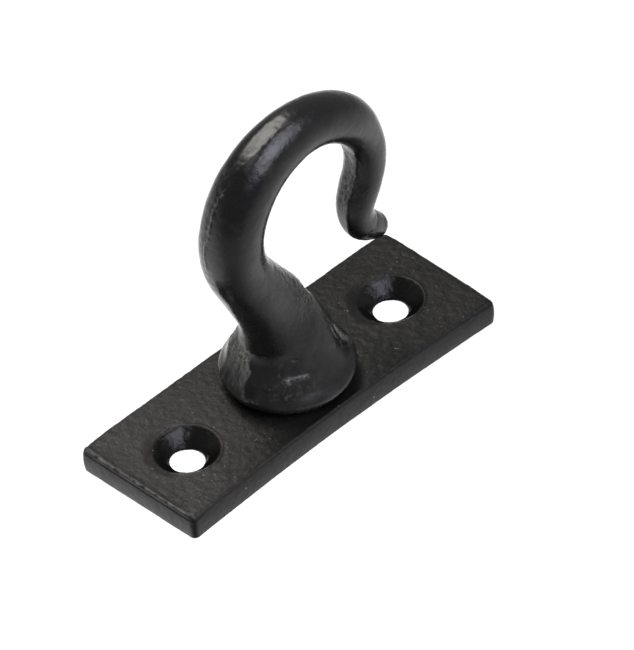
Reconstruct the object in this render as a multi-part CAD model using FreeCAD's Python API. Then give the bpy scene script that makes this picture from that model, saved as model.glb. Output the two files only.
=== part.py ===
import FreeCAD, Part
import math
import os

# Hook sash lift: a countersunk screw plate with one round-bar hook riveted through it.
# Millimetres. Origin at the centre of the plate's back face, +X along the plate, +Z away from
# the sash. The hook lies in the plane y = 0 and opens towards +X.

# Plate
PLATE_LENGTH = 51.0
PLATE_WIDTH = 19.0
PLATE_THICKNESS = 3.6
FRONT_WAIST = 0.8           # how far the front edge bows inwards at mid length
CORNER_RADIUS = 0.9
TOP_EDGE_ROUND = 0.4

# Hollow in the back of the plate
RIM_WIDTH = 1.9
WEB_THICKNESS = 2.3
HOLLOW_CORNER_RADIUS = 1.0

# Countersunk holes for No. 8 wood screws
SCREW_OFFSET = 17.35
SCREW_HOLE_RADIUS = 2.13
SCREW_RIM_RADIUS = 4.2
SCREW_LAND = 0.3            # straight length below the countersink

# Foot, tenon and peened head of the hook
FOOT_SEAT_RADIUS = 7.5      # where the foot touches the plate, inside its rolled edge
FOOT_RADIUS = 8.5
FOOT_EDGE_TOP_RADIUS = 8.4
FOOT_EDGE_HEIGHT = 2.0
TENON_RADIUS = 2.6
PEENED_RADIUS = 4.4
PEENED_HEIGHT = 1.1

# Centre line of the bar, from the plate's top face: length or angle of each stretch in order
RISE_LENGTH = 5.4
LEAN_ANGLE = 24.5
LEAN_BEND_RADIUS = 10.0
LEAN_LENGTH = 12.6
GREAT_BEND_ANGLE = 173.0
GREAT_BEND_RADIUS = 11.3
SHOULDER_ANGLE = 56.0
SHOULDER_RADIUS = 10.0
ARM_LENGTH = 2.4
CURL_ANGLE = 75.0
CURL_RADIUS = 4.6
TIP_LENGTH = 3.2

# Bar radius at distances along the centre line: flare, stem, great bend, arm, curl
BAR_RADII = [
    (2.0, 8.4), (3.2, 7.9), (4.8, 7.05), (6.8, 6.05), (9.2, 5.1), (11.4, 4.4), (13.8, 4.05),
    (19.0, 3.9), (30.6, 3.9), (38.3, 3.65), (46.0, 3.3), (53.6, 3.15), (59.7, 2.65),
    (64.3, 2.55), (68.2, 2.45), (71.2, 2.2), (74.0, 2.1), (76.0, 1.75),
]
SECTION_SPACING = 3.0       # the widest gap between two sections of the bar

PARTS_FOLDER = "parts"

Y_AXIS = FreeCAD.Vector(0, 1, 0)
Z_AXIS = FreeCAD.Vector(0, 0, 1)
WEB_UNDERSIDE = PLATE_THICKNESS - WEB_THICKNESS
TINY = 1e-6


def vec(x, y, z):
    return FreeCAD.Vector(x, y, z)


def revolve(points, arcs=()):
    """Solid of revolution about Z from (radius, height) points.

    arcs maps the index of a segment's start point to the middle point of its arc.
    """
    arc_middles = dict(arcs)
    corners = [vec(r, 0, z) for r, z in points]
    edges = []
    for i, start in enumerate(corners):
        end = corners[(i + 1) % len(corners)]
        if i in arc_middles:
            r, z = arc_middles[i]
            edges.append(Part.Arc(start, vec(r, 0, z), end).toShape())
        else:
            edges.append(Part.makeLine(start, end))
    face = Part.Face(Part.Wire(edges))
    return face.revolve(vec(0, 0, 0), Z_AXIS, 360)


def plate_outline(inset, height):
    """Plate outline moved inwards by inset: three straight edges and the waisted front edge."""
    half_length = PLATE_LENGTH / 2 - inset
    half_width = PLATE_WIDTH / 2 - inset
    back_left = vec(-half_length, half_width, height)
    back_right = vec(half_length, half_width, height)
    front_right = vec(half_length, -half_width, height)
    front_left = vec(-half_length, -half_width, height)
    waist = vec(0, FRONT_WAIST - half_width, height)
    edges = [
        Part.makeLine(back_left, back_right),
        Part.makeLine(back_right, front_right),
        Part.Arc(front_right, waist, front_left).toShape(),
        Part.makeLine(front_left, back_left),
    ]
    return Part.Face(Part.Wire(edges))


def upright_edges(shape):
    """Edges parallel to Z."""
    def span(edge):
        return max(edge.BoundBox.XLength, edge.BoundBox.YLength)

    return [edge for edge in shape.Edges if span(edge) < TINY]


def edges_at_height(shape, height):
    """Edges lying in the plane z = height."""
    def distance(edge):
        return max(abs(edge.BoundBox.ZMin - height), abs(edge.BoundBox.ZMax - height))

    return [edge for edge in shape.Edges if distance(edge) < TINY]


def plate_blank():
    body = plate_outline(0, 0).extrude(vec(0, 0, PLATE_THICKNESS))
    body = body.makeFillet(CORNER_RADIUS, upright_edges(body))
    return body.makeFillet(TOP_EDGE_ROUND, edges_at_height(body, PLATE_THICKNESS))


def back_hollow():
    hollow = plate_outline(RIM_WIDTH, 0).extrude(vec(0, 0, WEB_UNDERSIDE))
    return hollow.makeFillet(HOLLOW_CORNER_RADIUS, upright_edges(hollow))


def screw_hole(x):
    """Countersink with a short straight land below it, down to the web's underside."""
    land = Part.makeCylinder(SCREW_HOLE_RADIUS, SCREW_LAND, vec(x, 0, WEB_UNDERSIDE), Z_AXIS)
    cone = Part.makeCone(SCREW_HOLE_RADIUS, SCREW_RIM_RADIUS, WEB_THICKNESS - SCREW_LAND,
                         vec(x, 0, WEB_UNDERSIDE + SCREW_LAND), Z_AXIS)
    return land.fuse(cone)


def make_backplate():
    plate = plate_blank().cut(back_hollow())
    for x in (-SCREW_OFFSET, SCREW_OFFSET):
        plate = plate.cut(screw_hole(x))
    tenon_hole = Part.makeCylinder(TENON_RADIUS, PLATE_THICKNESS, vec(0, 0, 0), Z_AXIS)
    return plate.cut(tenon_hole)


def bar_stretches():
    """The centre line as (length, turn per length); a positive turn is towards -X."""
    def bend(angle, radius, side):
        return (math.radians(angle) * radius, side / radius)

    return [
        (RISE_LENGTH, 0.0),
        bend(LEAN_ANGLE, LEAN_BEND_RADIUS, 1),
        (LEAN_LENGTH, 0.0),
        bend(GREAT_BEND_ANGLE, GREAT_BEND_RADIUS, -1),
        bend(SHOULDER_ANGLE, SHOULDER_RADIUS, -1),
        (ARM_LENGTH, 0.0),
        bend(CURL_ANGLE, CURL_RADIUS, 1),
        (TIP_LENGTH, 0.0),
    ]


def bar_point(distance):
    """Position and heading (angle from +X, in the XZ plane) at a distance along the bar."""
    x, z, heading = 0.0, PLATE_THICKNESS, math.pi / 2
    left = distance
    for length, turn in bar_stretches():
        step = min(left, length)
        if turn == 0:
            x += step * math.cos(heading)
            z += step * math.sin(heading)
        else:
            new_heading = heading + turn * step
            x += (math.sin(new_heading) - math.sin(heading)) / turn
            z -= (math.cos(new_heading) - math.cos(heading)) / turn
            heading = new_heading
        left -= step
        if left <= 0:
            break
    return vec(x, 0, z), heading


def bar_sections():
    """The listed sections with evenly spaced ones put between them."""
    sections = []
    for (start, r_start), (end, r_end) in zip(BAR_RADII, BAR_RADII[1:]):
        count = math.ceil((end - start) / SECTION_SPACING)
        for i in range(count):
            share = i / count
            sections.append((start + share * (end - start), r_start + share * (r_end - r_start)))
    return sections + [BAR_RADII[-1]]


def make_bar():
    """Round bar of changing thickness along the centre line, with a domed end."""
    circles = []
    for distance, radius in bar_sections():
        centre, heading = bar_point(distance)
        circle = Part.makeCircle(radius)
        tilt = FreeCAD.Rotation(Y_AXIS, 90 - math.degrees(heading))
        circle.Placement = FreeCAD.Placement(centre, tilt)
        circles.append(Part.Wire(circle))
    bar = Part.makeLoft(circles, True, False)
    end_distance, end_radius = BAR_RADII[-1]
    centre, heading = bar_point(end_distance)
    direction = vec(math.cos(heading), 0, math.sin(heading))
    dome = Part.makeSphere(end_radius, centre, direction, 0, 90, 360)
    return bar.fuse(dome)


def make_foot_edge():
    """The rolled edge of the foot, standing on the plate."""
    top = PLATE_THICKNESS + FOOT_EDGE_HEIGHT
    points = [(0, PLATE_THICKNESS), (FOOT_SEAT_RADIUS, PLATE_THICKNESS),
              (FOOT_EDGE_TOP_RADIUS, top), (0, top)]
    return revolve(points, {1: (FOOT_RADIUS, PLATE_THICKNESS + FOOT_EDGE_HEIGHT / 2)}.items())


def make_tenon():
    """Tenon through the web, with its end peened into a low dome in the hollow."""
    tenon = Part.makeCylinder(TENON_RADIUS, WEB_THICKNESS, vec(0, 0, WEB_UNDERSIDE), Z_AXIS)
    dome_radius = (PEENED_RADIUS ** 2 + PEENED_HEIGHT ** 2) / (2 * PEENED_HEIGHT)
    middle_radius = PEENED_RADIUS / 2
    middle_drop = math.sqrt(dome_radius ** 2 - middle_radius ** 2) - dome_radius + PEENED_HEIGHT
    points = [(0, WEB_UNDERSIDE), (0, WEB_UNDERSIDE - PEENED_HEIGHT), (PEENED_RADIUS, WEB_UNDERSIDE)]
    head = revolve(points, {1: (middle_radius, WEB_UNDERSIDE - middle_drop)}.items())
    return tenon.fuse(head)


def make_hook():
    return make_bar().fuse([make_foot_edge(), make_tenon()]).removeSplitter()


def export(shape, name):
    solid = shape.Solids[0] if len(shape.Solids) == 1 else shape
    solid.exportStep(os.path.join(PARTS_FOLDER, name + ".step"))


os.makedirs(PARTS_FOLDER, exist_ok=True)
export(make_backplate(), "backplate")
export(make_hook(), "hook")
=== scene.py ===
import bpy
import math
import numpy as np
import openvdb
from mathutils import Matrix, Vector, noise
from types import SimpleNamespace


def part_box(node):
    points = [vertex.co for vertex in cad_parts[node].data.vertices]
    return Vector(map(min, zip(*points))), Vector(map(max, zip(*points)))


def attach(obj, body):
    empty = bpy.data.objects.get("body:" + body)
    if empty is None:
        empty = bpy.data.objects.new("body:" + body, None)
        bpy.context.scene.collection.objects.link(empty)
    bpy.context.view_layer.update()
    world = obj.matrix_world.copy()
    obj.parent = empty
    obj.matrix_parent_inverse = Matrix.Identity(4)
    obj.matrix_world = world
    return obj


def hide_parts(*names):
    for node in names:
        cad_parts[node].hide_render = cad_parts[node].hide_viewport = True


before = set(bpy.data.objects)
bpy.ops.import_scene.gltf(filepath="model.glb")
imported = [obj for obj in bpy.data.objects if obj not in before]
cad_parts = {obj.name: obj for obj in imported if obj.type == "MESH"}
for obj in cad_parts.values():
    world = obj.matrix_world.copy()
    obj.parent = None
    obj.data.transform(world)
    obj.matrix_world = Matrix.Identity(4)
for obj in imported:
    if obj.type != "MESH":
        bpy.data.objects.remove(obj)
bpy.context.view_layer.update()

# A hook sash lift of black-painted cast iron. Lengths are in millimetres and angles in degrees,
# unless a name or a comment says otherwise.
MM = 0.001

# Plate
plate_low, plate_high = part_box("backplate")
PLATE_LENGTH = (plate_high.x - plate_low.x) / MM
PLATE_THICKNESS = (plate_high.z - plate_low.z) / MM
PLATE_WIDTH = 19.0          # at its ends, outside the waist
FRONT_WAIST = 0.8
CORNER_RADIUS = 0.8
LONG_EDGE_TILT = 0.0102     # how far the long edges run out of square, as a slope
END_TILT = 0.016            # the same for the short ends
END_SHIFT = 0.06            # how far both ends sit towards +X
TOP_ROUND = 0.34
CORNER_WEAR = 0.4           # extra rounding of the top edge at the corners
CORNER_WEAR_REACH = (4.0, 3.5)              # how far it runs in from the end and from the side
CORNER_WEAR_FULL = 0.5      # within this distance of both, it is full
SIDE_BULGE = 0.15
BACK_ROUND = 0.22
GROOVE_HEIGHT = 3.12        # a crease along the -X end, under the lip of the top edge
GROOVE_RADIUS = 0.12
GROOVE_EDGE_ROUND = 0.05
RIM_WIDTH = 1.9
WEB_UNDERSIDE = 1.3
HOLLOW_TOP_ROUND = 0.4
HOLLOW_EDGE_ROUND = 0.25
VOXEL = 0.13
GRID_MARGIN = 0.7           # empty space in the grid beside and below the plate
GRID_HEADROOM = 0.9         # the same above it

# Countersunk holes
SCREW_OFFSET = 17.35
SCREW_HOLE_RADIUS = 2.13
SCREW_RIM_RADIUS = 4.2
SCREW_LAND_TOP = 1.6
SCREW_BELL = 0.17           # how far the countersink bells inwards at half height
SCREW_RIM_ROUND = 0.12
SOFT_RIM = 0.8              # extra rounding of the rim on its worn side

# Unevenness of the plate: waves, cast skin, the ragged lip at the -X end, burrs round the holes
WAVE_SIZE = 5.0
WAVE_HEIGHT = 0.035
SKIN_SIZE = 0.8
SKIN_HEIGHT = 0.014
EDGE_SKIN_HEIGHT = 0.03     # added to it on the rounded edges
LIP_RAGGED_SIZE = 1.8
LIP_WIDTH = 0.3
LIP_HEIGHT = 0.10
LIP_RAGGEDNESS = 0.12
LIP_LIMIT = 0.25
BURR_OFFSET = 0.08          # how far outside the rim it stands
BURR_WIDTH = 0.16
BURR_HEIGHT = 0.06
BURR_RAGGEDNESS = 0.05
BURR_LIMIT = 0.12

# Foot of the hook
TENON_RADIUS = 2.6
FOOT_BASE = [               # (radius, height) from the peened head to the top of the rolled edge
    (0.0, 0.2), (1.2, 0.26), (2.4, 0.5), (3.4, 0.82), (4.1, 1.12), (4.35, 1.25), (4.2, 1.31),
    (TENON_RADIUS, 1.31), (TENON_RADIUS, 3.5), (6.8, 3.6), (7.2, 3.78), (7.7, 4.2), (8.15, 4.75),
    (8.4, 5.3), (8.45, 5.6),
]
FOOT_FACET_NORMAL = (-0.85, 0.222, 0.48)    # a flat ground across the mould ridge of the foot
FOOT_FACET_OFFSET = 9.72
FOOT_FACET_TOP = 8.6

# Centre line of the bar, from the plate's top face: length or angle of each stretch in order
RISE_LENGTH = 5.4
LEAN_ANGLE = 24.5
LEAN_BEND_RADIUS = 10.0
LEAN_LENGTH = 12.6
GREAT_BEND_ANGLE = 173.0
GREAT_BEND_RADIUS = 11.3
SHOULDER_ANGLE = 56.0
SHOULDER_RADIUS = 10.0
ARM_LENGTH = 2.4
CURL_ANGLE = 75.0
CURL_RADIUS = 4.6
TIP_LENGTH = 3.2
BAR_RADII = [               # (distance along the centre line, radius): flare, stem, bend, arm, curl
    (2.3, 8.37), (2.7, 8.12), (3.4, 7.6), (4.8, 6.85), (6.8, 5.95), (9.2, 5.1), (11.4, 4.45),
    (13.8, 4.05), (19.0, 3.9), (30.6, 3.9), (38.3, 3.65), (46.0, 3.3), (53.6, 3.15),
    (59.7, 2.65), (64.3, 2.55), (68.2, 2.45), (71.2, 2.2), (74.0, 2.1), (76.0, 1.75),
]
BASE_STEP = 0.25            # widest gap between two rings of the foot's base
RING_STEP = 0.15            # gap between two rings of the bar
DOME_RINGS = 11
RING_POINTS = 270

# Marks on the hook. Along is the distance from the plate along the bar; around is 0 on the bar's
# outer side, 90 towards -Y and 180 on its inner side.
GROUND_FLATS = [            # (around, along from, along to, depth as a share of the radius)
    (0, 38.6, 43.4, 0.030),
    (180, 55.5, 71.5, 0.070),
]
FLAT_EDGE = 0.10            # how softly a flat runs into the round
FLAT_REACH = 1.2            # half the angle that a flat may take up, in radians
MOULD_RIDGES = [            # (around, half width, [(along, height), ...]): foot, bend, back of stem
    (-42, 22, [(1.0, 0), (3.0, 0.08), (5.6, 0.38), (7.6, 0.42), (9.6, 0.12), (11.0, 0)]),
    (-22, 17, [(25.0, 0), (27.5, 0.07), (33.0, 0.11), (36.0, 0)]),
    (172, 36, [(8.4, 0), (10.2, 0.25), (12.1, 0.70), (13.8, 1.0), (15.6, 0.80), (17.8, 0.40),
               (21.0, 0)]),
]
LINE_MARKS = [              # ([(along, around), ...], half width, height, which is below 0 in a groove)
    ([(5.30, 46), (5.35, 56), (5.30, 69)], 0.20, 0.18),
    ([(5.05, 45), (5.15, 47)], 0.42, 0.30),
    ([(7.9, 65), (8.4, 55), (8.0, 46), (7.0, 40), (5.9, 40)], 0.24, -0.22),
    ([(6.3, 109), (5.2, 126), (3.8, 141)], 0.20, -0.07),
    ([(8.0, 158), (6.2, 152), (4.6, 150)], 0.22, -0.06),
    ([(3.4, -4), (2.2, 6), (2.6, 20)], 0.22, 0.14),
    ([(10.0, 143), (7.6, 137), (5.2, 131)], 0.45, -0.10),
    ([(35.0, 1), (33.3, -6), (31.8, -4), (30.1, -1), (29.2, -8), (26.8, -5)], 0.20, 0.10),
    ([(58.6, 157), (62.0, 140), (64.9, 132), (67.1, 133), (68.6, 135)], 0.70, -0.10),
    ([(73.9, 20), (73.5, 60), (73.5, 100), (73.9, 140)], 0.45, -0.08),
]
PEBBLED_PATCH = (4.0, 46, 0.9, 22)          # (along, around, half length, half width)
PEBBLE_HEIGHT = 0.15
POLISH_AND_HIGHLIGHT_CENTRE = 41.0        # where the great bend is polished and its painted highlights sit, along the bar
SEAM_ALONG = (25, 37)       # stretch with a ragged mould seam
SEAM_AROUND = (-9, 13)      # its middle and half width
INNER_ARM_ALONG = (56, 69.5)                # rough stretch on the inner side of the arm
INNER_ARM_WIDTH = 0.62      # half its width, in radians
DULL_ALONG = 24             # below this the paint is duller

# Unevenness of the hook: the sizes of its kinds, then their heights on each place
LUMP_SIZE = 7.0
DENT_SIZE = 1.8
PATCH_SIZE = 2.6
RAGGED_SIZE = 0.55
GRIT_SIZE = 0.42
STROKE_WIDTH = 0.35
STROKE_STRETCH = 4          # how many times longer than wide a brush stroke is
LUMP_HEIGHT = 0.07
DENT_HEIGHT = 0.022
GRAIN_HEIGHT = 0.010
POLISHED_GRAIN = 0.022      # added to it where the bend is polished
RIDGE_WANDER = 2.0          # how far a ridge's sides wander, in degrees
RIDGE_STROKES = 0.030
RIDGE_RAGGEDNESS = 0.035
INNER_ARM_RAGGEDNESS = 0.06
INNER_ARM_PATCHES = 0.05
SEAM_RAGGEDNESS = 0.05
FACET_STROKES = 0.065
FACET_RAGGEDNESS = 0.045

# How far the paint is worn off each place, 0..1, before the noise thins it out
RIDGE_BARE = 0.38
INNER_ARM_BARE = 0.75
PEBBLES_BARE = 0.6
SEAM_BARE = 0.35

# Finish, as linear colours
HOOK_BLACK = ((0.0035, 0.0035, 0.0037), (0.0065, 0.0065, 0.0067))
PLATE_BLACK = ((0.0035, 0.0034, 0.0032), (0.0065, 0.0062, 0.0058))
BARE_METAL = (0.15, 0.145, 0.134)
# colour of rubbed paint, also laid on as painted highlights on the bend and painted light on the foot's
# front
RUBBED_PAINT_AND_HIGHLIGHT = (0.060, 0.058, 0.053)
# dust colour, also laid on as painted light: lighter towards the plate's -X end and back
DUST_AND_LIGHT = (0.0215, 0.0203, 0.0182)
WORN_LIP = (0.15, 0.147, 0.138)
SPECK = (0.16, 0.155, 0.145)
BORE_ROUGHNESS = 0.20
EDGE_ROUGHNESS = 0.55

# Stage. Lengths are in metres; azimuth runs from -Y towards +X.
FLOOR_SIZE = 6.0
FLOOR_HEIGHT = -0.16
FLOOR_WHITE = (0.92, 0.92, 0.92)
STUDIO_LEVEL = 0.17
STUDIO_GLOWS = [            # (azimuth, elevation, inner angle, outer angle, amount)
    (2, 55, 6, 33, 4.6),        # front window
    (85, 10, 30, 110, 0.17),    # right side
    (0, -90, 55, 95, 0.38),     # table
    (-135, -35, 15, 60, 0.86),  # table, left and behind
    (30, -25, 10, 60, 0.32),    # table, right
    (60, -60, 5, 35, 0.22),     # table, right, close by
    (139, -44, 10, 35, 0.80),   # table, behind
    (-45, -70, 10, 45, -0.35),  # under the camera
]
COOL_WINDOW = (2, 55, 10, 50, 1.0)
COOL_TINT = (0.86, 0.87, 1.0)
BACK_WINDOW_DIRECTION = (0.03, 0.54, 0.84)
BACK_WINDOW_DISTANCE = 0.9
BACK_WINDOW_SIZE = (0.60, 0.55)
BACK_WINDOW_WATTS = 5.9
BACK_WINDOW_COLOUR = (1.0, 0.97, 0.90)
LIGHT_TARGET = Vector((0.0, 0.0, 0.02))
CAMERA_AZIMUTH = -41.18
CAMERA_ELEVATION = 43.65
CAMERA_ROLL = -5.22
CAMERA_DISTANCE = 1.2
CAMERA_SENSOR = 36          # in millimetres
LENS_PER_METRE = 456.4      # focal length, in millimetres, for each metre of distance
FRAME_MIDDLE = (3.16, 8.50)                 # middle of the picture, right and up, in millimetres


# ---- helpers ----

def hermite(xs, ys, x):
    """Smooth curve through (xs, ys), read at x."""
    xs, ys = np.array(xs, float), np.array(ys, float)
    slope = np.gradient(ys, xs)
    i = np.clip(np.searchsorted(xs, x) - 1, 0, len(xs) - 2)
    h = xs[i + 1] - xs[i]
    t = (x - xs[i]) / h
    a = (1 + 2 * t) * (1 - t) ** 2 * ys[i] + t * (1 - t) ** 2 * h * slope[i]
    b = t * t * (3 - 2 * t) * ys[i + 1] + t * t * (t - 1) * h * slope[i + 1]
    return a + b


def fractal(points, size, seed, octaves=3):
    """Noise, mostly in -1..1, at each point, with features of the given size."""
    shift = Vector((seed * 17.3, seed * 5.1, -seed * 9.7))
    values = np.zeros(len(points))
    for i, point in enumerate(points):
        place = Vector(point) / size + shift
        values[i] = noise.fractal(place, 1.0, 2.0, octaves, noise_basis="PERLIN_ORIGINAL")
    return values


def share(value):
    """Value cut to 0..1."""
    return np.clip(value, 0, 1)


def bump_at(value, centre, width):
    return np.exp(-((value - centre) / width) ** 2)


def between(value, start, end, soft_start, soft_end):
    """1 between start and end, fading softly at both."""
    return 1 / (1 + np.exp((start - value) / soft_start)) / (1 + np.exp((value - end) / soft_end))


def wrapped(angle):
    """Angle in -pi..pi."""
    return np.angle(np.exp(1j * angle))


def set_attributes(mesh, attributes):
    for key, values in attributes.items():
        layer = mesh.attributes.new(key, "FLOAT", "POINT")
        layer.data.foreach_set("value", np.asarray(values, np.float32))


def link_object(name, data):
    made = bpy.data.objects.new(name, data)
    bpy.context.scene.collection.objects.link(made)
    return made


def mesh_object(name, vertices, faces):
    """Smooth mesh in a new object, from vertices in millimetres."""
    mesh = bpy.data.meshes.new(name)
    mesh.from_pydata([tuple(v * MM) for v in vertices], [], faces)
    mesh.polygons.foreach_set("use_smooth", [True] * len(mesh.polygons))
    mesh.update()
    return link_object(name, mesh)


# ---- hook ----

def bar_stretches():
    """The centre line as (length, turn per length); a positive turn is towards -X."""
    def bend(angle, radius, side):
        return (math.radians(angle) * radius, side / radius)

    return [
        (RISE_LENGTH, 0.0),
        bend(LEAN_ANGLE, LEAN_BEND_RADIUS, 1),
        (LEAN_LENGTH, 0.0),
        bend(GREAT_BEND_ANGLE, GREAT_BEND_RADIUS, -1),
        bend(SHOULDER_ANGLE, SHOULDER_RADIUS, -1),
        (ARM_LENGTH, 0.0),
        bend(CURL_ANGLE, CURL_RADIUS, 1),
        (TIP_LENGTH, 0.0),
    ]


def bar_point(distance):
    """x, z and heading of the bar's centre line at a distance from the plate."""
    x, z, heading = 0.0, PLATE_THICKNESS, math.pi / 2
    left = distance
    for length, turn in bar_stretches():
        step = min(left, length)
        if turn == 0:
            x += step * math.cos(heading)
            z += step * math.sin(heading)
        else:
            new_heading = heading + turn * step
            x += (math.sin(new_heading) - math.sin(heading)) / turn
            z -= (math.cos(new_heading) - math.cos(heading)) / turn
            heading = new_heading
        left -= step
        if left <= 0:
            break
    return x, z, heading


def base_rings():
    """Rings of the peened head, the tenon and the foot's rolled edge."""
    rings = []
    for (r0, z0), (r1, z1) in zip(FOOT_BASE, FOOT_BASE[1:]):
        count = max(1, math.ceil(math.hypot(r1 - r0, z1 - z0) / BASE_STEP))
        for i in range(count):
            t = i / count
            radius = max(r0 + t * (r1 - r0), 1e-4)
            rings.append((0.0, z0 + t * (z1 - z0), math.pi / 2, radius, z0 - PLATE_THICKNESS))
    return rings


def bar_rings():
    """Rings of the bar from the top of the foot's edge to the domed tip."""
    start_radius, start_height = FOOT_BASE[-1]
    start = start_height - PLATE_THICKNESS
    end, end_radius = BAR_RADII[-1]
    stations = [(start, start_radius)] + BAR_RADII
    distances = np.arange(start, end, RING_STEP)
    radii = hermite([s for s, r in stations], [r for s, r in stations], distances)
    rings = [(*bar_point(s), r, s) for s, r in zip(distances, radii)]
    for angle in np.linspace(0, math.pi / 2, DOME_RINGS + 1)[:-1]:
        distance = end + end_radius * math.sin(angle)
        rings.append((*bar_point(distance), end_radius * math.cos(angle), distance))
    return rings


def shaped_radius(radius, distance, phi):
    """Radius all round one ring, cut back where the bar has been ground flat."""
    r = np.full_like(phi, radius)
    for around, start, end, depth in GROUND_FLATS:
        within = between(distance, start, end, 0.5, 0.5)
        angle = np.clip(wrapped(phi - math.radians(around)), -FLAT_REACH, FLAT_REACH)
        flat = radius * (1 - depth * within) / np.cos(angle)
        near = share(1 - np.abs(r - flat) / FLAT_EDGE)
        rounded = np.minimum(r, flat) - near ** 2 * FLAT_EDGE / 4 * within
        r = np.where(np.abs(angle) < FLAT_REACH, rounded, r)
    return r


def hook_surface():
    """Points of all rings in order, each with its direction outwards and its place on the bar."""
    rings = base_rings() + bar_rings()
    phi = np.linspace(0, 2 * math.pi, RING_POINTS, endpoint=False)
    side = np.array([0, -1.0, 0])
    points, outward = [], []
    for x, z, heading, radius, distance in rings:
        normal = np.array([-math.sin(heading), 0, math.cos(heading)])
        spoke = np.cos(phi)[:, None] * normal + np.sin(phi)[:, None] * side
        r = shaped_radius(radius, distance, phi)
        points.append(np.array([x, 0, z]) + r[:, None] * spoke)
        outward.append(spoke)
    around = np.tile(phi, len(rings))
    return SimpleNamespace(
        ring_count=len(rings),
        points=np.concatenate(points),
        outward=np.concatenate(outward),
        along=np.repeat([ring[4] for ring in rings], RING_POINTS),
        radii=np.repeat([ring[3] for ring in rings], RING_POINTS),
        around=around,
        degrees=np.degrees(wrapped(around)),
    )


def add_hook_noise(bar):
    """Noise over the bar from coarse to fine, and brush strokes that run along it."""
    across = wrapped(bar.around) * bar.radii
    unrolled = np.stack([bar.along / STROKE_STRETCH, across, 0 * across], 1)
    bar.lumps = fractal(bar.points, LUMP_SIZE, seed=1, octaves=2)
    bar.dents = fractal(bar.points, DENT_SIZE, seed=2, octaves=2)
    bar.patches = fractal(bar.points, PATCH_SIZE, seed=3)
    bar.ragged = fractal(bar.points, RAGGED_SIZE, seed=4)
    bar.strokes = fractal(unrolled, STROKE_WIDTH, seed=5, octaves=2)
    bar.grit = fractal(bar.points, GRIT_SIZE, seed=6, octaves=2)


def mould_ridges(bar):
    """Height of what is left of the mould line, ground nearly flat on top."""
    height = np.zeros_like(bar.along)
    for centre, half_width, profile in MOULD_RIDGES:
        rise = hermite([a for a, h in profile], [h for a, h in profile], bar.along)
        outside = (bar.along < profile[0][0]) | (bar.along > profile[-1][0])
        rise = np.where(outside, 0, np.maximum(rise, 0))
        angle = np.degrees(wrapped(bar.around - math.radians(centre))) + RIDGE_WANDER * bar.ragged
        height += rise / (1 + (angle / half_width) ** 4)
    return height


def add_hook_zones(bar):
    """Height of the mould ridge, and how far each point belongs to each kind of place, 0..1."""
    patch_along, patch_around, patch_length, patch_width = PEBBLED_PATCH
    patch_angle = np.degrees(wrapped(bar.around - math.radians(patch_around)))
    inner_angle = wrapped(bar.around - math.pi)
    bar.above_base = share((bar.along - 1.0) / 2.0)
    bar.ridge = mould_ridges(bar)
    bar.ground = share((bar.ridge - 0.05) / 0.3)
    bar.inner_arm = bump_at(inner_angle, 0, INNER_ARM_WIDTH)
    bar.inner_arm *= between(bar.along, *INNER_ARM_ALONG, 0.8, 0.6)
    bar.pebbled = bump_at(bar.along, patch_along, patch_length) * bump_at(patch_angle, 0, patch_width)
    bar.polished = bump_at(bar.along, POLISH_AND_HIGHLIGHT_CENTRE, 5.0) * bump_at(bar.degrees, 20, 35)
    bar.seam = bump_at(bar.degrees, *SEAM_AROUND) * between(bar.along, *SEAM_ALONG, 0.8, 0.8)


def hook_relief(bar):
    """Height of the skin over the plain bar, without the line marks."""
    grain = GRAIN_HEIGHT + POLISHED_GRAIN * bar.polished
    height = LUMP_HEIGHT * bar.lumps + DENT_HEIGHT * bar.dents + grain * bar.ragged
    height *= bar.above_base
    height += bar.ridge + bar.ground * (RIDGE_STROKES * bar.strokes + RIDGE_RAGGEDNESS * bar.ragged)
    height += bar.inner_arm * (INNER_ARM_RAGGEDNESS * bar.ragged + INNER_ARM_PATCHES * bar.patches)
    height += bar.pebbled * PEBBLE_HEIGHT * bar.grit
    height += bar.seam * SEAM_RAGGEDNESS * bar.ragged
    return height


def hook_bareness(bar):
    """How far the paint is worn off, without the line marks and the facet."""
    bare = RIDGE_BARE * bar.ground * share(bar.strokes + 0.2)
    bare += INNER_ARM_BARE * bar.inner_arm * share(bar.patches + 0.4)
    bare += PEBBLES_BARE * bar.pebbled * share(2.0 * bar.grit)
    bare += SEAM_BARE * bar.seam * share(bar.ragged)
    return bare


def line_mark(bar, line, half_width):
    """Closeness, 0..1, to a bent line drawn on the bar."""
    best = np.zeros_like(bar.along)
    for (a0, p0), (a1, p1) in zip(line, line[1:]):
        u = bar.along - a0
        v = wrapped(bar.around - math.radians(p0)) * bar.radii
        du, dv = a1 - a0, math.radians(p1 - p0) * bar.radii
        t = share((u * du + v * dv) / (du * du + dv * dv))
        gap = np.hypot(u - t * du, v - t * dv)
        best = np.maximum(best, np.exp(-(gap / half_width) ** 2))
    return best


def add_line_marks(bar):
    """Draws the marks: raised ones are rubbed bare, and the paint stays in the grooves."""
    broken = np.clip(0.8 + 0.7 * bar.ragged, 0, 1.3)
    for line, half_width, rise in LINE_MARKS:
        near = line_mark(bar, line, half_width)
        bar.height += rise * near * broken
        if rise > 0:
            bar.bare += 4.0 * rise * near
        else:
            bar.bare *= 1 - 0.8 * near


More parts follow.
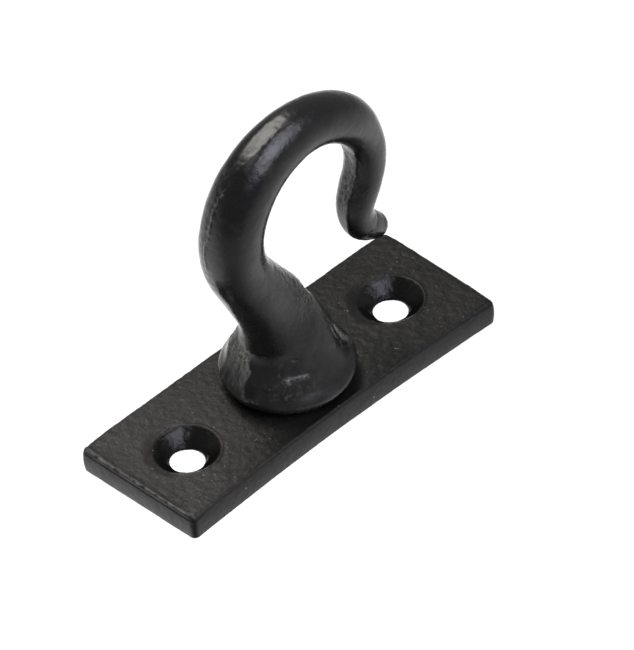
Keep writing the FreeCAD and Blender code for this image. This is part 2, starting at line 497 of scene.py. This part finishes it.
def cut_foot_facet(bar):
    """Cuts the foot back to the plane of its ground facet, and roughens the cut."""
    plane = np.array(FOOT_FACET_NORMAL)
    over = bar.points @ plane - FOOT_FACET_OFFSET
    facing = bar.outward @ plane
    fade = 1 / (1 + np.exp((bar.along - FOOT_FACET_TOP) / 0.35))
    cut = np.where((over > 0) & (facing > 0.3) & (bar.along > 0.5), fade, 0)
    shift = cut * over / np.maximum(facing, 0.3)
    bar.on_facet = cut * share(over / 0.05)
    bar.points = bar.points - bar.outward * shift[:, None]
    rough = bar.on_facet * (FACET_STROKES * bar.strokes + FACET_RAGGEDNESS * bar.ragged)
    bar.points += bar.outward * rough[:, None]
    bar.bare += bar.on_facet * share((bar.along - 3.5) / 3) * share(1.3 + bar.strokes)


def hook_dullness(bar):
    """How dull the paint is low on the hook, 0..1, and the same with grime added, 0..2."""
    dull = 1 / (1 + np.exp((bar.along - DULL_ALONG) / 1.5))
    grimy = bump_at(bar.degrees, 5, 34) * share((8.5 - bar.along) / 3)
    low_on_facet = share((4.2 + 1.5 * bar.patches - bar.along) / 1.5)
    return dull, dull + np.where(bar.on_facet > 0, low_on_facet, grimy)


def hook_rubbing_and_highlights(bar, dull):
    """How thin the paint is rubbed, in patches and low on the hook, with painted highlights: two
    stripes on the bend, and painted light on the foot's front.
    """
    slant = bar.degrees + 4 * (bar.along - POLISH_AND_HIGHLIGHT_CENTRE)
    # painted highlights: two lighter stripes across the bend where the lamps are mirrored
    highlight_stripes = bump_at(slant, 4, 9) + 0.6 * bump_at(slant, 33, 13)
    rubbed_and_highlight = bump_at(bar.along, POLISH_AND_HIGHLIGHT_CENTRE, 3.0) * highlight_stripes
    rubbed_and_highlight = share(2.2 * rubbed_and_highlight + 0.9 * bar.patches - 0.5)
    # painted light: the foot's front is lightened as if lit
    lit_foot_front = bump_at(bar.degrees, 60, 50) * share((11 - bar.along) / 3)
    rubbed_and_highlight = np.maximum(rubbed_and_highlight, lit_foot_front * (0.58 + 0.5 * bar.patches))
    return np.maximum(rubbed_and_highlight, 0.15 * dull)


def ring_faces(ring_count):
    """Quads between the rings, closed by a fan round one more point at each end."""
    faces = []
    turn = [(j, (j + 1) % RING_POINTS) for j in range(RING_POINTS)]
    for i in range(ring_count - 1):
        a, b = i * RING_POINTS, (i + 1) * RING_POINTS
        faces += [(a + j, a + k, b + k, b + j) for j, k in turn]
    start_point = ring_count * RING_POINTS
    tip_point = start_point + 1
    last_ring = start_point - RING_POINTS
    for j, k in turn:
        faces.append((start_point, k, j))
        faces.append((tip_point, last_ring + j, last_ring + k))
    return faces


def make_hook():
    bar = hook_surface()
    add_hook_noise(bar)
    add_hook_zones(bar)
    bar.height = hook_relief(bar)
    bar.bare = hook_bareness(bar)
    add_line_marks(bar)
    bar.points = bar.points + bar.outward * bar.height[:, None]
    cut_foot_facet(bar)
    dull, duller = hook_dullness(bar)
    # rubbed paint together with painted highlights on the bend and painted light on the foot's front
    rubbed_and_highlight = hook_rubbing_and_highlights(bar, dull)

    start = np.array([[0, 0, FOOT_BASE[0][1]]])
    x, z, _ = bar_point(sum(BAR_RADII[-1]))
    vertices = np.concatenate([bar.points, start, np.array([[x, 0, z]])])
    piece = mesh_object("hook_cast", vertices, ring_faces(bar.ring_count))
    ends = [0.0, 0.0]
    set_attributes(piece.data, {
        "bare": np.concatenate([share(bar.bare), ends]),
        "rubbed_and_highlight": np.concatenate([rubbed_and_highlight, ends]),
        "dull": np.concatenate([duller, ends]),
    })
    return piece


# ---- plate ----

def round_max(a, b, radius):
    """Intersection of two solids with the shared edge rounded."""
    corner = np.sqrt(np.maximum(a + radius, 0) ** 2 + np.maximum(b + radius, 0) ** 2)
    return np.minimum(-radius, np.maximum(a, b)) + corner


def outline_distance(x, y, bulge):
    """Distance to the outline, not quite square and waisted in front, and x measured from its ends."""
    waist = FRONT_WAIST * (1 - (x / (PLATE_LENGTH / 2)) ** 2)
    end_tilt = END_TILT * (1 - 0.5 * x / (PLATE_LENGTH / 2))
    tilted_x = x + end_tilt * y - END_SHIFT
    tilted_y = y + LONG_EDGE_TILT * x
    across = np.where(tilted_y > 0, tilted_y, -tilted_y + share(-tilted_y / 3) * waist)
    qx = np.abs(tilted_x) - PLATE_LENGTH / 2 + CORNER_RADIUS - bulge
    qy = across - PLATE_WIDTH / 2 + CORNER_RADIUS - bulge
    outside = np.sqrt(np.maximum(qx, 0) ** 2 + np.maximum(qy, 0) ** 2)
    return outside + np.minimum(np.maximum(qx, qy), 0) - CORNER_RADIUS, tilted_x


def cut_screw_hole(body, x, y, z, centre):
    """Cuts one countersunk hole, its rim rounder on the worn side."""
    depth = PLATE_THICKNESS - SCREW_LAND_TOP
    slope = (SCREW_RIM_RADIUS - SCREW_HOLE_RADIUS) / depth
    rho = np.hypot(x - centre, y)
    climb = (z - SCREW_LAND_TOP) / depth
    bell = SCREW_BELL * np.sin(math.pi * share(climb))
    cone = (rho - SCREW_HOLE_RADIUS - slope * (z - SCREW_LAND_TOP) + bell) / math.hypot(1, slope)
    hole = np.minimum(cone, rho - SCREW_HOLE_RADIUS)
    soft = share((y * 0.66 - (x - centre) * 0.75) / SCREW_RIM_RADIUS)
    return round_max(body, -hole, SCREW_RIM_ROUND + SOFT_RIM * soft)


def plate_distance(x, y, z):
    """Signed distance to the plate, on numpy grids."""
    bulge = SIDE_BULGE * (1 - ((2 * z - PLATE_THICKNESS) / PLATE_THICKNESS) ** 2)
    outline, tilted_x = outline_distance(x, y, bulge)
    reach_x, reach_y = CORNER_WEAR_REACH
    near_end = share((np.abs(x) - PLATE_LENGTH / 2 + reach_x) / (reach_x - CORNER_WEAR_FULL))
    near_side = share((np.abs(y) - PLATE_WIDTH / 2 + reach_y) / (reach_y - CORNER_WEAR_FULL))
    top_round = TOP_ROUND + CORNER_WEAR * near_end * near_side
    body = round_max(outline, z - PLATE_THICKNESS, top_round)
    body = round_max(body, -z, BACK_ROUND)
    hollow = round_max(outline + RIM_WIDTH, z - WEB_UNDERSIDE, HOLLOW_TOP_ROUND)
    body = round_max(body, -hollow, HOLLOW_EDGE_ROUND)
    body = np.maximum(body, TENON_RADIUS - np.hypot(x, y))
    for centre in (-SCREW_OFFSET, SCREW_OFFSET):
        body = cut_screw_hole(body, x, y, z, centre)
    groove = np.hypot(tilted_x + PLATE_LENGTH / 2 + bulge, z - GROOVE_HEIGHT) - GROOVE_RADIUS
    return round_max(body, -groove, GROOVE_EDGE_ROUND)


def plate_mesh():
    """Mesh of the plate's zero distance, and its points in millimetres."""
    half_length = PLATE_LENGTH / 2 + GRID_MARGIN
    half_width = PLATE_WIDTH / 2 + GRID_MARGIN
    low = np.array([-half_length, -half_width, -GRID_MARGIN])
    high = np.array([half_length, half_width, PLATE_THICKNESS + GRID_HEADROOM])
    axes = [np.arange(a, b, VOXEL) for a, b in zip(low, high)]
    x, y, z = np.meshgrid(*axes, indexing="ij")
    grid = openvdb.FloatGrid(3 * VOXEL)
    grid.copyFromArray(plate_distance(x, y, z).astype(np.float32))
    corners, quads = grid.convertToQuads(0.0)
    points = corners.astype(float) * VOXEL + low
    return mesh_object("backplate_cast", points, quads.tolist()), points


def bore_layers(x, y, z):
    """Where the countersinks are, their shaded near side, and the burr round their rims."""
    bore = np.zeros_like(x)
    burr = np.zeros_like(x)
    for centre in (-SCREW_OFFSET, SCREW_OFFSET):
        rho = np.hypot(x - centre, y)
        bore = np.maximum(bore, share((SCREW_RIM_RADIUS - 0.05 - rho) / 0.15))
        burr += bump_at(rho, SCREW_RIM_RADIUS + BURR_OFFSET, BURR_WIDTH)
    bore *= share((z - WEB_UNDERSIDE - 0.1) / 0.15)
    near_side = share(0.6 - (x - np.sign(x) * SCREW_OFFSET + 1.15 * y) / 3.0)
    deep = bore * near_side * share((3.8 - z) / 0.5)
    return bore, deep, burr


def make_plate():
    piece, points = plate_mesh()
    normals = np.zeros(len(points) * 3)
    piece.data.vertices.foreach_get("normal", normals)
    normals = normals.reshape(-1, 3)
    up = normals[:, 2]
    x, y, z = points.T
    waves = fractal(points, WAVE_SIZE, seed=11, octaves=2)
    skin = fractal(points, SKIN_SIZE, seed=12)
    ragged = fractal(points * np.array([0.2, 1, 0.2]), LIP_RAGGED_SIZE, seed=13)
    on_top = share((z - PLATE_THICKNESS + 0.5) / 0.4)
    on_edge = share(1 - np.abs(up - 0.65) / 0.5)
    bore, deep, burr = bore_layers(x, y, z)

    at_lip = bump_at(x, -PLATE_LENGTH / 2 + LIP_WIDTH, LIP_WIDTH)
    lip = at_lip * on_top * np.clip(LIP_HEIGHT + LIP_RAGGEDNESS * ragged, 0, LIP_LIMIT)
    lip += burr * on_top * np.clip(BURR_HEIGHT + BURR_RAGGEDNESS * ragged, 0, BURR_LIMIT)
    height = WAVE_HEIGHT * waves + (SKIN_HEIGHT + EDGE_SKIN_HEIGHT * on_edge) * skin + lip
    moved = points + normals * height[:, None]
    piece.data.vertices.foreach_set("co", (moved * MM).ravel())

    at_end = bump_at(x, -PLATE_LENGTH / 2 + 0.1, 0.5)
    worn = bump_at(up, 0.83, 0.10) * on_top * share(1.5 * skin + 0.5) * at_end
    set_attributes(piece.data, {
        "bore": bore,
        "deep": deep,
        # dust on the top with painted light and shade: lighter towards the -X end and the back, darker
        # towards +X and the front
        "dust_and_light": share(0.12 - x / 28 + y / 60 + 0.25 * waves) * on_top * (1 - bore),
        "edge": share(1 - np.abs(up - 0.65) / 0.35) * on_top * (1 - bore),
        "worn": worn * (1 - bore),
    })
    piece.data.update()
    return piece


# ---- materials ----

def node(tree, kind, **settings):
    """New node with its properties and input values set by name."""
    made = tree.nodes.new(kind)
    for key, value in settings.items():
        if hasattr(made, key):
            setattr(made, key, value)
        else:
            made.inputs[key].default_value = value
    return made


def noise_at(tree, place, size, detail, roughness):
    """Noise texture with features of the given size."""
    texture = node(tree, "ShaderNodeTexNoise", Scale=1 / (size * MM), Detail=detail,
                   Roughness=roughness)
    tree.links.new(place.outputs["Object"], texture.inputs["Vector"])
    return texture.outputs["Fac"]


def remap(tree, source, from_low, from_high, low, high, **settings):
    """The range from_low..from_high of a value, stretched to low..high and held beyond it."""
    change = node(tree, "ShaderNodeMapRange", **settings)
    change.inputs["From Min"].default_value = from_low
    change.inputs["From Max"].default_value = from_high
    change.inputs["To Min"].default_value = low
    change.inputs["To Max"].default_value = high
    tree.links.new(source, change.inputs["Value"])
    return change.outputs["Result"]


def multiply(tree, a, b):
    """Product of a socket and a socket or a plain number."""
    product = node(tree, "ShaderNodeMath", operation="MULTIPLY")
    tree.links.new(a, product.inputs[0])
    if isinstance(b, float):
        product.inputs[1].default_value = b
    else:
        tree.links.new(b, product.inputs[1])
    return product.outputs[0]


def mixed(tree, amount, below, above):
    """The socket below, covered by the constant colour above."""
    blend = node(tree, "ShaderNodeMix", data_type="RGBA")
    blend.inputs["B"].default_value = (*above, 1)
    tree.links.new(amount, blend.inputs["Factor"])
    tree.links.new(below, blend.inputs["A"])
    return blend.outputs["Result"]


def grey(value):
    return (value, value, value)


def attribute(tree, name):
    return node(tree, "ShaderNodeAttribute", attribute_name=name).outputs["Fac"]


def satin_paint(name, blacks, roughness, grain_size, grain_height):
    """Black paint over cast iron; returns the material and the sockets that overlays build on."""
    material = bpy.data.materials.new(name)
    material.use_nodes = True
    tree = material.node_tree
    place = node(tree, "ShaderNodeTexCoord")
    colour = node(tree, "ShaderNodeValToRGB")
    for stop, position, shade in zip(colour.color_ramp.elements, (0.32, 0.72), blacks):
        stop.position = position
        stop.color = (*shade, 1)
    tree.links.new(noise_at(tree, place, 5.0, 4.0, 0.6), colour.inputs["Fac"])
    rough = remap(tree, noise_at(tree, place, 1.3, 4.0, 0.6), 0.3, 0.7, *roughness)
    skin = node(tree, "ShaderNodeBump", Strength=0.8, Distance=grain_height * MM)
    tree.links.new(noise_at(tree, place, 1.1, 3.0, 0.55), skin.inputs["Height"])
    grain = node(tree, "ShaderNodeBump", Strength=0.8, Distance=grain_height * MM)
    tree.links.new(noise_at(tree, place, grain_size, 4.0, 0.6), grain.inputs["Height"])
    tree.links.new(skin.outputs["Normal"], grain.inputs["Normal"])
    tree.links.new(grain.outputs["Normal"], tree.nodes["Principled BSDF"].inputs["Normal"])
    return material, tree, place, colour.outputs["Color"], rough


def finish_paint(tree, colour, rough, gloss):
    shader = tree.nodes["Principled BSDF"]
    tree.links.new(colour, shader.inputs["Base Color"])
    tree.links.new(rough, shader.inputs["Roughness"])
    tree.links.new(gloss, shader.inputs["Specular IOR Level"])


def hook_paint():
    """Smooth satin black, rubbed to bare grey on the ground mould line, dull and grimy low down, with
    painted highlights on the bend and painted light on the foot's front.
    """
    material, tree, place, colour, rough = satin_paint(
        "hook_paint", HOOK_BLACK, roughness=(0.20, 0.31), grain_size=0.30, grain_height=0.022)
    chips = remap(tree, noise_at(tree, place, 0.38, 3.0, 0.7), 0.42, 0.62, 0.0, 1.0)
    worn = multiply(tree, attribute(tree, "bare"), chips)
    colour = mixed(tree, worn, colour, BARE_METAL)
    # rubbed paint, with painted highlights and painted light laid on in the same colour
    thin_paint_and_highlight = multiply(tree, attribute(tree, "rubbed_and_highlight"), 0.6)
    colour = mixed(tree, thin_paint_and_highlight, colour, RUBBED_PAINT_AND_HIGHLIGHT)
    gloss = remap(tree, attribute(tree, "dull"), 0.0, 2.0, 0.50, 0.10)
    finish_paint(tree, colour, rough, gloss)
    return material


def plate_paint():
    """Pebbled satin black with dust that carries painted light, lighter towards the -X end and the
    back, and a few pale specks, smoother in the countersinks.
    """
    material, tree, place, colour, rough = satin_paint(
        "plate_paint", PLATE_BLACK, roughness=(0.28, 0.40), grain_size=0.27, grain_height=0.046)
    gloss = remap(tree, attribute(tree, "deep"), 0.0, 1.0, 0.26, 0.0)
    patchy = remap(tree, noise_at(tree, place, 0.34, 3.0, 0.6), 0.35, 0.65, 0.45, 1.60)
    # dust with painted light, in patches
    dusty_and_lit = multiply(tree, attribute(tree, "dust_and_light"), patchy)
    colour = mixed(tree, dusty_and_lit, colour, DUST_AND_LIGHT)
    colour = mixed(tree, attribute(tree, "worn"), colour, WORN_LIP)
    rough = mixed(tree, attribute(tree, "bore"), rough, grey(BORE_ROUGHNESS))
    rough = mixed(tree, attribute(tree, "edge"), rough, grey(EDGE_ROUGHNESS))
    specks = remap(tree, noise_at(tree, place, 0.55, 1.0, 0.5), 0.755, 0.80, 0.0, 0.8)
    colour = mixed(tree, specks, colour, SPECK)
    finish_paint(tree, colour, rough, gloss)
    return material


# ---- stage ----

def make_floor():
    """Pale floor that lights the object but isn't mirrored in it."""
    a, z = FLOOR_SIZE, FLOOR_HEIGHT
    mesh = bpy.data.meshes.new("floor")
    mesh.from_pydata([(-a, -a, z), (a, -a, z), (a, a, z), (-a, a, z)], [], [(0, 1, 2, 3)])
    paper = bpy.data.materials.new("floor_paper")
    paper.use_nodes = True
    shader = paper.node_tree.nodes["Principled BSDF"]
    shader.inputs["Base Color"].default_value = (*FLOOR_WHITE, 1)
    shader.inputs["Roughness"].default_value = 0.9
    mesh.materials.append(paper)
    floor = link_object("floor", mesh)
    floor.visible_glossy = False


def make_back_window():
    light = bpy.data.lights.new("back_window", "AREA")
    light.shape = "RECTANGLE"
    light.size, light.size_y = BACK_WINDOW_SIZE
    light.energy = BACK_WINDOW_WATTS
    light.color = BACK_WINDOW_COLOUR
    lamp = link_object("back_window", light)
    towards = Vector(BACK_WINDOW_DIRECTION).normalized()
    lamp.location = LIGHT_TARGET + towards * BACK_WINDOW_DISTANCE
    lamp.rotation_mode = "QUATERNION"
    lamp.rotation_quaternion = towards.to_track_quat("Z", "Y")


def direction(azimuth, elevation):
    """Unit vector towards an azimuth and elevation."""
    a, e = math.radians(azimuth), math.radians(elevation)
    return Vector((math.sin(a) * math.cos(e), -math.cos(a) * math.cos(e), math.sin(e)))


def glow(tree, place, azimuth, elevation, inner, outer, amount):
    """A soft round patch of light in the world, full within inner degrees and gone at outer."""
    closeness = node(tree, "ShaderNodeVectorMath", operation="DOT_PRODUCT")
    closeness.inputs[1].default_value = direction(azimuth, elevation)
    tree.links.new(place.outputs["Generated"], closeness.inputs[0])
    return remap(tree, closeness.outputs["Value"], math.cos(math.radians(outer)),
                 math.cos(math.radians(inner)), 0.0, amount, interpolation_type="SMOOTHSTEP")


def make_world():
    """A dim studio with a bright front window and light thrown back by the table."""
    world = bpy.data.worlds.new("studio")
    bpy.context.scene.world = world
    world.use_nodes = True
    tree = world.node_tree
    background = tree.nodes["Background"]
    place = node(tree, "ShaderNodeTexCoord")
    total = None
    for patch in STUDIO_GLOWS:
        add = node(tree, "ShaderNodeMath", operation="ADD")
        tree.links.new(glow(tree, place, *patch), add.inputs[0])
        if total is None:
            add.inputs[1].default_value = STUDIO_LEVEL
        else:
            tree.links.new(total, add.inputs[1])
        total = add.outputs[0]
    tree.links.new(total, background.inputs["Strength"])
    tint = node(tree, "ShaderNodeMix", data_type="RGBA")
    tint.inputs["A"].default_value = (1, 1, 1, 1)
    tint.inputs["B"].default_value = (*COOL_TINT, 1)
    tree.links.new(glow(tree, place, *COOL_WINDOW), tint.inputs["Factor"])
    tree.links.new(tint.outputs["Result"], background.inputs["Color"])


def make_camera():
    back = direction(CAMERA_AZIMUTH, CAMERA_ELEVATION)
    roll = math.radians(CAMERA_ROLL)
    level_right = (-back).cross(Vector((0, 0, 1))).normalized()
    level_up = level_right.cross(-back)
    right = math.cos(roll) * level_right + math.sin(roll) * level_up
    up = math.cos(roll) * level_up - math.sin(roll) * level_right
    middle = FRAME_MIDDLE[0] * MM * right + FRAME_MIDDLE[1] * MM * up
    lens = bpy.data.cameras.new("camera")
    lens.sensor_width = CAMERA_SENSOR
    lens.lens = LENS_PER_METRE * CAMERA_DISTANCE
    lens.clip_end = 20
    camera = link_object("camera", lens)
    place = Matrix.Translation(middle + back * CAMERA_DISTANCE)
    camera.matrix_world = place @ Matrix((right, up, back)).transposed().to_4x4()
    bpy.context.scene.camera = camera


def place_piece(piece, material, cad_node):
    """Puts a piece in the frame in the place of its CAD node."""
    piece.data.materials.append(material)
    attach(piece, "root")
    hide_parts(cad_node)


place_piece(make_hook(), hook_paint(), "hook")
place_piece(make_plate(), plate_paint(), "backplate")
make_floor()
make_world()
make_back_window()
make_camera()
bpy.context.scene.view_settings.view_transform = "Standard"
